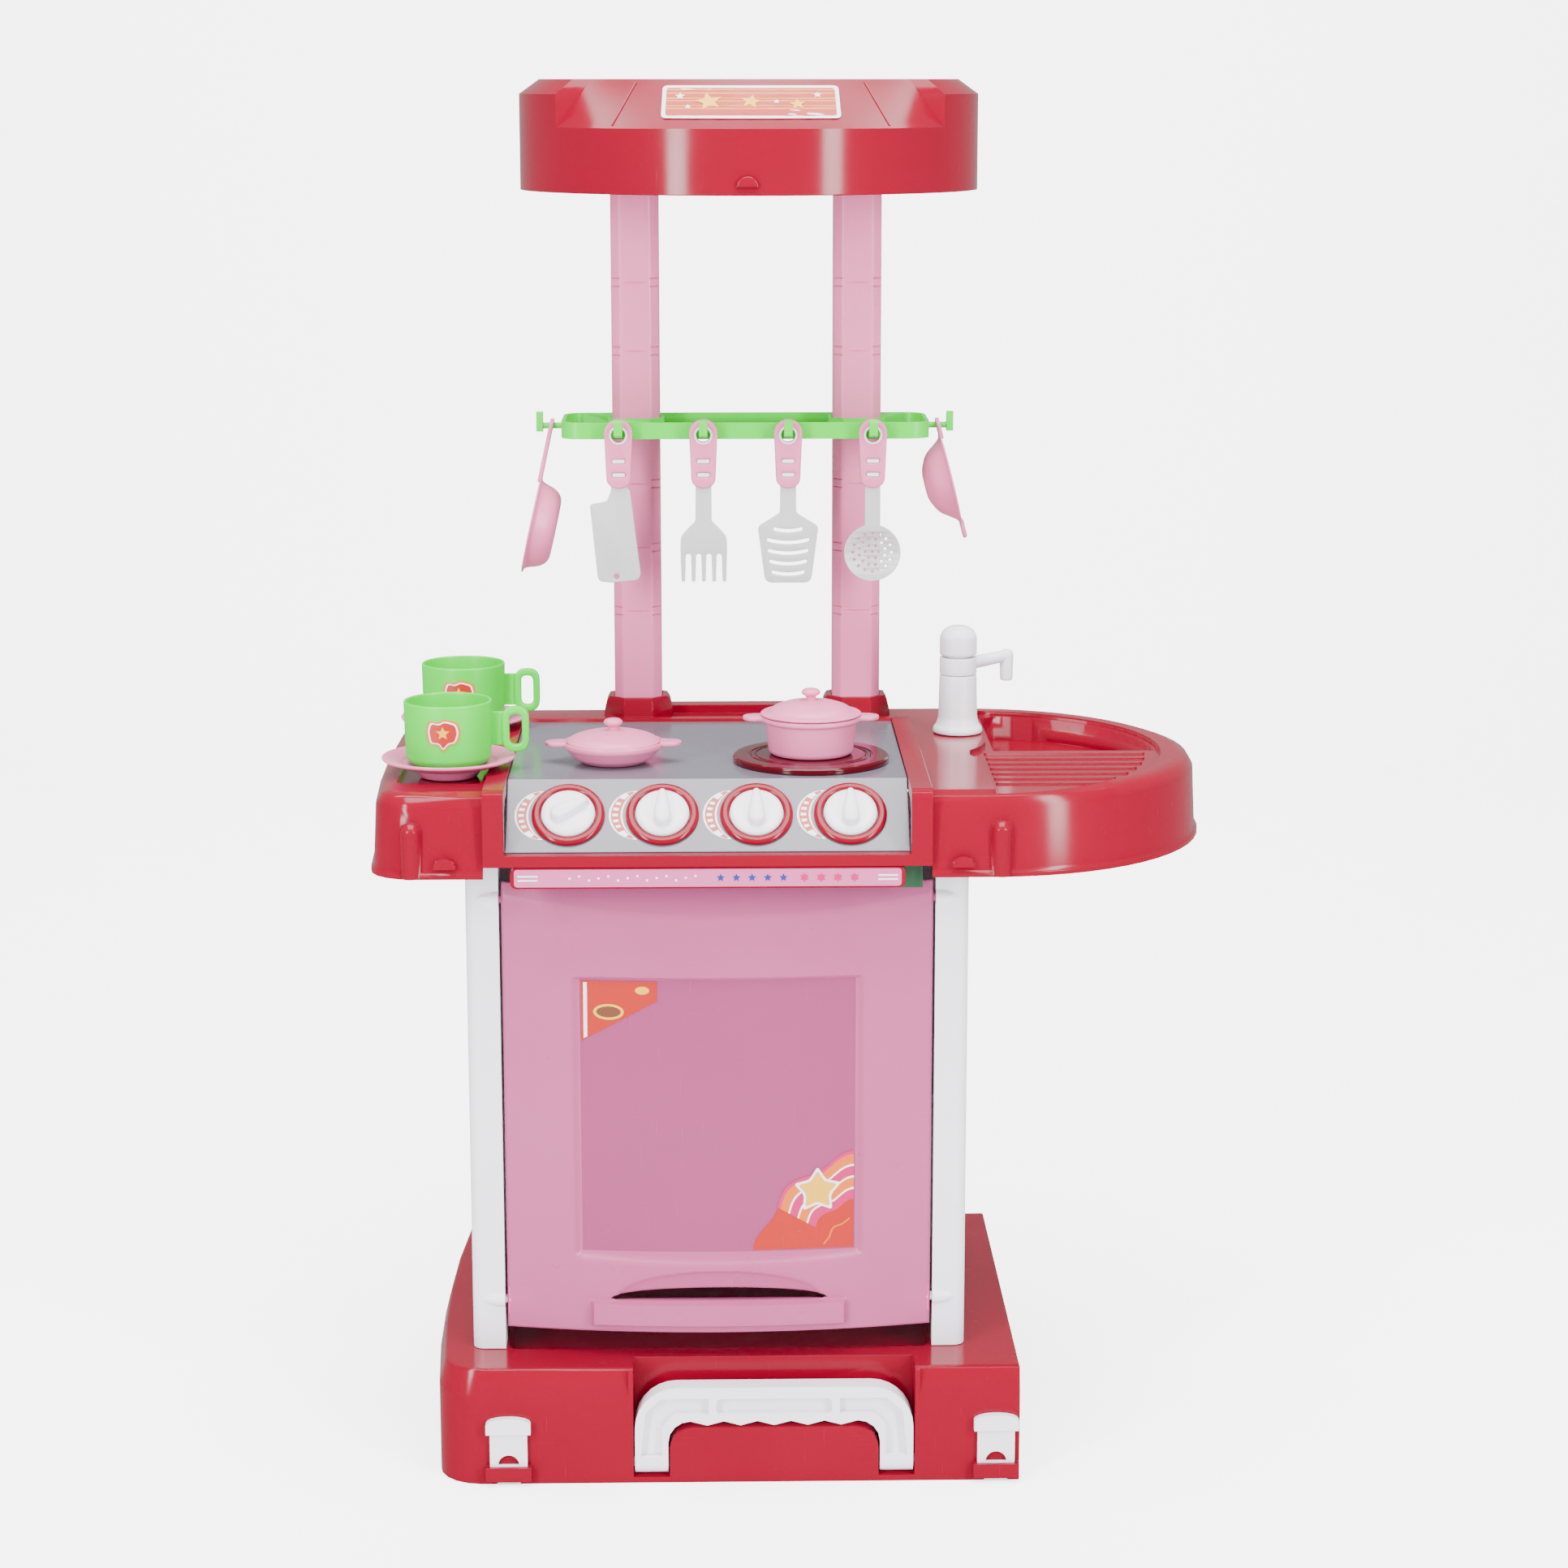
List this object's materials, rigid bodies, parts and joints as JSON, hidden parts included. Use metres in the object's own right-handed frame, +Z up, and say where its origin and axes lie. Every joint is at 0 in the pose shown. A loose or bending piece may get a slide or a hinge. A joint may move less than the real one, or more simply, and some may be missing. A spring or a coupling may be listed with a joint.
{
  "type": "toy kitchen",
  "caption": "Toy kitchen that packs into a red carrying case, with an oven, a cooktop with knobs, a sink with a faucet, a canopy, hanging utensils, cups, a pot and pans.",
  "frame": {"origin": "middle of the bounding box, on the floor", "axes": "+Z up, -Y towards the child standing in front, +X to the child's right, where the sink is"},
  "size_m": [0.415, 0.2406, 0.681],
  "materials": {
    "red_plastic": "glossy",
    "pink_plastic": "satin",
    "white_plastic": "satin",
    "green_plastic": "satin",
    "grey_plastic": "satin",
    "door_plastic": "glossy translucent",
    "lens_plastic": "glossy translucent",
    "circuit_board": "matte",
    "black_plastic": "matte",
    "screw_steel": "satin"
  },
  "bodies": {
    "kitchen": {"base_shell": "red_plastic", "side_panel_left": "white_plastic", "side_panel_right": "white_plastic", "back_sheet_lower": "white_plastic", "back_sheet_upper": "white_plastic", "oven_shelf": "white_plastic", "worktop_shell": "red_plastic", "front_bar": "red_plastic", "cooktop_panel": "grey_plastic", "knob_bezel_1": "red_plastic", "knob_bezel_2": "red_plastic", "knob_bezel_3": "red_plastic", "knob_bezel_4": "red_plastic", "burner_lens": "lens_plastic", "lamp_board": "circuit_board", "burner_lamp": "white_plastic", "speaker": "black_plastic", "sound_board": "circuit_board", "battery_box": "black_plastic", "battery_cover": "black_plastic", "battery_screw": "screw_steel", "faucet_column": "white_plastic", "faucet_cap": "white_plastic", "post_left": "pink_plastic", "post_right": "pink_plastic", "canopy": "red_plastic", "utensil_rack": "green_plastic"},
    "door": {"oven_door": "door_plastic"},
    "handle": {"carry_handle": "white_plastic"},
    "latch_l": {"latch_left": "white_plastic"},
    "latch_r": {"latch_right": "white_plastic"},
    "knob_a": {"knob_1": "white_plastic"},
    "knob_b": {"knob_2": "white_plastic"},
    "knob_c": {"knob_3": "white_plastic"},
    "knob_d": {"knob_4": "white_plastic"},
    "spout": {"faucet_spout": "white_plastic"},
    "cleaver": {"cleaver_grip": "pink_plastic", "cleaver_blade": "white_plastic"},
    "fork": {"fork_grip": "pink_plastic", "fork_head": "white_plastic"},
    "spatula": {"spatula_grip": "pink_plastic", "spatula_head": "white_plastic"},
    "skimmer": {"skimmer_grip": "pink_plastic", "skimmer_head": "white_plastic"},
    "small_pan": {"hanging_pan": "pink_plastic"},
    "small_wok": {"hanging_wok": "pink_plastic"},
    "front_saucer": {"saucer_front": "pink_plastic"},
    "front_cup": {"cup_front": "green_plastic"},
    "back_saucer": {"saucer_back": "pink_plastic"},
    "back_cup": {"cup_back": "green_plastic"},
    "frying_pan": {"pan": "pink_plastic"},
    "frying_pan_lid": {"pan_lid": "pink_plastic"},
    "stock_pot": {"pot": "pink_plastic"},
    "stock_pot_lid": {"pot_lid": "pink_plastic"}
  },
  "joints": [
    {"name": "oven_door_hinge", "type": "hinge", "parent": "kitchen", "child": "door", "pos_m": [-0.0375, -0.08425, 0.2905], "axis": [-1, 0, 0], "range_deg": [0, 75]},
    {"name": "carry_handle_hinge", "type": "hinge", "parent": "kitchen", "child": "handle", "pos_m": [-0.0105, -0.10975, 0.0091], "axis": [1, 0, 0], "range_deg": [0, 85]},
    {"name": "latch_left_slide", "type": "slide", "parent": "kitchen", "child": "latch_l", "axis": [0, 0, 1], "range_m": [0, 0.009]},
    {"name": "latch_right_slide", "type": "slide", "parent": "kitchen", "child": "latch_r", "axis": [0, 0, 1], "range_m": [0, 0.009]},
    {"name": "knob_1_turn", "type": "hinge", "parent": "kitchen", "child": "knob_a", "pos_m": [-0.10907, -0.09596, 0.33446], "axis": [0, -0.7011, 0.713], "range_deg": [-28, 152]},
    {"name": "knob_2_turn", "type": "hinge", "parent": "kitchen", "child": "knob_b", "pos_m": [-0.06379, -0.09596, 0.33446], "axis": [0, -0.7011, 0.713], "range_deg": [-90, 90]},
    {"name": "knob_3_turn", "type": "hinge", "parent": "kitchen", "child": "knob_c", "pos_m": [-0.01851, -0.09596, 0.33446], "axis": [0, -0.7011, 0.713], "range_deg": [-90, 90]},
    {"name": "knob_4_turn", "type": "hinge", "parent": "kitchen", "child": "knob_d", "pos_m": [0.02677, -0.09596, 0.33446], "axis": [0, -0.7011, 0.713], "range_deg": [-90, 90]},
    {"name": "faucet_spout_turn", "type": "hinge", "parent": "kitchen", "child": "spout", "pos_m": [0.088, 0.03975, 0.3483], "axis": [0, 0, 1], "continuous": true},
    {"name": "cleaver_swing", "type": "hinge", "parent": "kitchen", "child": "cleaver", "pos_m": [-0.08707, 0.04645, 0.5033], "axis": [0, 1, 0], "range_deg": [-10, 10]},
    {"name": "fork_swing", "type": "hinge", "parent": "kitchen", "child": "fork", "pos_m": [-0.04356, 0.04645, 0.5033], "axis": [0, 1, 0], "range_deg": [-10, 10]},
    {"name": "spatula_swing", "type": "hinge", "parent": "kitchen", "child": "spatula", "pos_m": [-0.00005, 0.04645, 0.5033], "axis": [0, 1, 0], "range_deg": [-10, 10]},
    {"name": "skimmer_swing", "type": "hinge", "parent": "kitchen", "child": "skimmer", "pos_m": [0.04346, 0.04645, 0.5033], "axis": [0, 1, 0], "range_deg": [-10, 10]},
    {"name": "hanging_pan_swing", "type": "hinge", "parent": "kitchen", "child": "small_pan", "pos_m": [-0.123, 0.0795, 0.5042], "axis": [1, 0, 0], "range_deg": [-15, 15]},
    {"name": "hanging_wok_swing", "type": "hinge", "parent": "kitchen", "child": "small_wok", "pos_m": [0.0794, 0.0795, 0.5042], "axis": [1, 0, 0], "range_deg": [-15, 15]},
    {"name": "saucer_front_lift", "type": "slide", "parent": "kitchen", "child": "front_saucer", "axis": [0, 0, 1], "range_m": [0, 0.025]},
    {"name": "cup_front_lift", "type": "slide", "parent": "front_saucer", "child": "front_cup", "axis": [0, 0, 1], "range_m": [0, 0.03]},
    {"name": "saucer_back_lift", "type": "slide", "parent": "kitchen", "child": "back_saucer", "axis": [0, 0, 1], "range_m": [0, 0.025]},
    {"name": "cup_back_lift", "type": "slide", "parent": "back_saucer", "child": "back_cup", "axis": [0, 0, 1], "range_m": [0, 0.03]},
    {"name": "pan_lift", "type": "slide", "parent": "kitchen", "child": "frying_pan", "axis": [0, 0, 1], "range_m": [0, 0.03]},
    {"name": "pan_lid_lift", "type": "slide", "parent": "frying_pan", "child": "frying_pan_lid", "axis": [0, 0, 1], "range_m": [0, 0.03]},
    {"name": "pot_lift", "type": "slide", "parent": "kitchen", "child": "stock_pot", "axis": [0, 0, 1], "range_m": [0, 0.03]},
    {"name": "pot_lid_lift", "type": "slide", "parent": "stock_pot", "child": "stock_pot_lid", "axis": [0, 0, 1], "range_m": [0, 0.03]}
  ]
}
